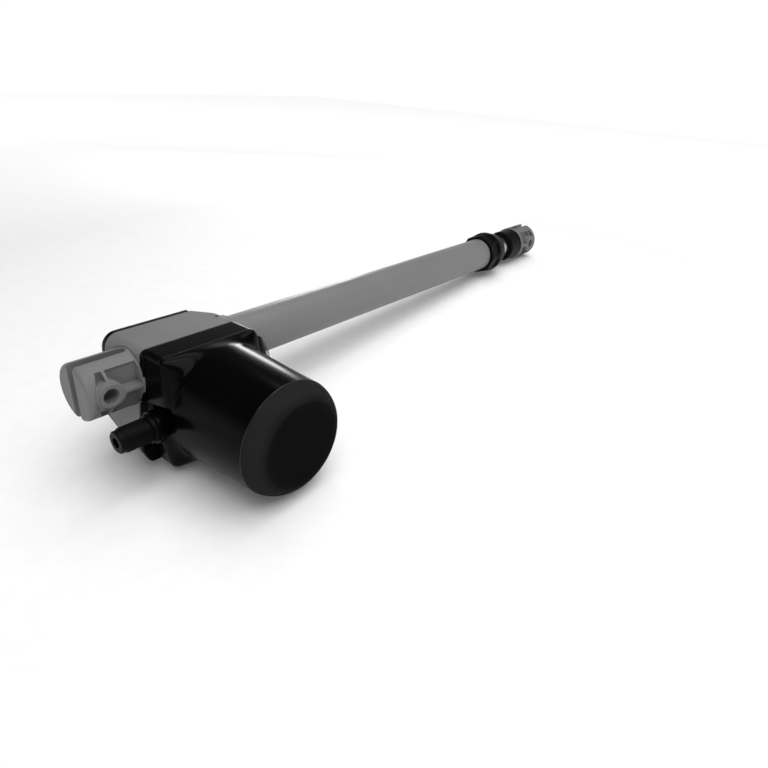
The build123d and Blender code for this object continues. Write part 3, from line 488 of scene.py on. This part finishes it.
# %% Paper under the actuator
paper_slope, paper_drop, paper_level = 0.0825, -0.0853, -0.0247
paper_middle = Vector((0.3, 0.0, -0.06))
paper_mesh = bpy.data.meshes.new("table")
corners, strips = [], []
for x in (-3.7, 0.0, 0.5, 0.715, 0.735, 0.755, 1.0, 4.3):
    z = min(paper_drop + paper_slope * x, paper_level)
    corners += [(x, -4.0, z), (x, 4.0, z)]
for i in range(0, len(corners) - 2, 2):
    strips.append((i, i + 2, i + 3, i + 1))
paper_mesh.from_pydata(corners, [], strips)
paper_mesh.shade_smooth()
paper_sheet = bpy.data.objects.new("table", paper_mesh)
bpy.context.scene.collection.objects.link(paper_sheet)
print("paper strips", len(strips))

# %% [markdown]
# ## Skin of the paper
# Matt paper has no gloss worth showing, only fibres that vary its white by a few percent. Away from
# the lamps it would turn grey, so it glows a little there. The glow grows with the distance from
# the middle, which a distance node measures and a map range turns into a strength.

# %% Skin of the paper
paper, tree, shader, coordinates = blank_finish("pale_paper")
fibres = cloud(tree, coordinates, 60.0, 3.0)
tree.links.new(two_tones(tree, fibres, (0.90,) * 3, (0.92,) * 3), shader.inputs["Base Color"])
shader.inputs["Roughness"].default_value = 0.9
from_middle = tree.nodes.new("ShaderNodeVectorMath")
from_middle.operation = "DISTANCE"
from_middle.inputs[1].default_value = paper_middle
tree.links.new(coordinates, from_middle.inputs[0])
glow = tree.nodes.new("ShaderNodeMapRange")
glow.inputs["From Min"].default_value = 0.7
glow.inputs["From Max"].default_value = 2.2
glow.inputs["To Max"].default_value = 0.75
tree.links.new(from_middle.outputs["Value"], glow.inputs["Value"])
tree.links.new(glow.outputs["Result"], shader.inputs["Emission Strength"])
shader.inputs["Emission Color"].default_value = (1.0, 1.0, 1.0, 1.0)
paper_mesh.materials.append(paper)
print("paper glows from", glow.inputs["From Min"].default_value, "m out")

# %% [markdown]
# ## Air of the studio
# A plain white world would fill every black moulding with grey. This one is white all round the
# horizon, where it meets the paper, and dims overhead, so that the tops of the black pieces keep
# their depth. The height of the view direction drives the change through a colour ramp. The view
# transform is Standard, which leaves white as white and keeps the blacks of the photograph.

# %% Air of the studio
air = bpy.data.worlds.new("studio_air")
air.use_nodes = True
sky = air.node_tree
direction = sky.nodes.new("ShaderNodeTexCoord")
split = sky.nodes.new("ShaderNodeSeparateXYZ")
sky.links.new(direction.outputs["Generated"], split.inputs["Vector"])
horizon_height, overhead_height = 0.14, 0.42
fade = two_tones(sky, split.outputs["Z"], (1.0,) * 3, (0.10,) * 3, horizon_height, overhead_height)
sky.links.new(fade, sky.nodes["Background"].inputs["Color"])
sky.nodes["Background"].inputs["Strength"].default_value = 1.02
bpy.context.scene.world = air
bpy.context.scene.view_settings.view_transform = "Standard"
print("air fades from", horizon_height, "to", overhead_height)

# %% [markdown]
# ## Lamps
# A product studio uses a few large, soft lamps. The key hangs over the motor end, a second one
# lights the far end of the tube, and a weak one opens the shadows on the left. A small strip low
# behind the motor does one job only: it draws the bright line along the top edge of the glossy
# cover, which tells the eye that the cover is round.


# %% Lamps
def soft_lamp(name, place, target, size, power):
    """A rectangular soft lamp that looks at a point."""
    data = bpy.data.lights.new(name, "AREA")
    data.shape = "RECTANGLE"
    data.size, data.size_y = size
    data.energy = power
    lamp = bpy.data.objects.new(name, data)
    bpy.context.scene.collection.objects.link(lamp)
    lamp.location = place
    lamp.rotation_mode = "QUATERNION"
    lamp.rotation_quaternion = (Vector(target) - Vector(place)).to_track_quat("-Z", "Y")
    print(name, power, "W")


soft_lamp("key_softbox", (0.0, -0.8, 1.7), (0.25, 0.0, 0.0), (2.2, 1.6), 36.0)
soft_lamp("far_softbox", (0.9, 0.3, 1.8), (0.6, 0.1, 0.0), (1.6, 1.6), 15.0)
soft_lamp("left_softbox", (-1.5, -0.5, 0.5), (0.1, 0.0, 0.0), (1.0, 0.8), 1.5)
soft_lamp("edge_strip", (1.20, 1.00, 0.24), (0.1, -0.085, 0.02), (0.34, 0.26), 3.0)
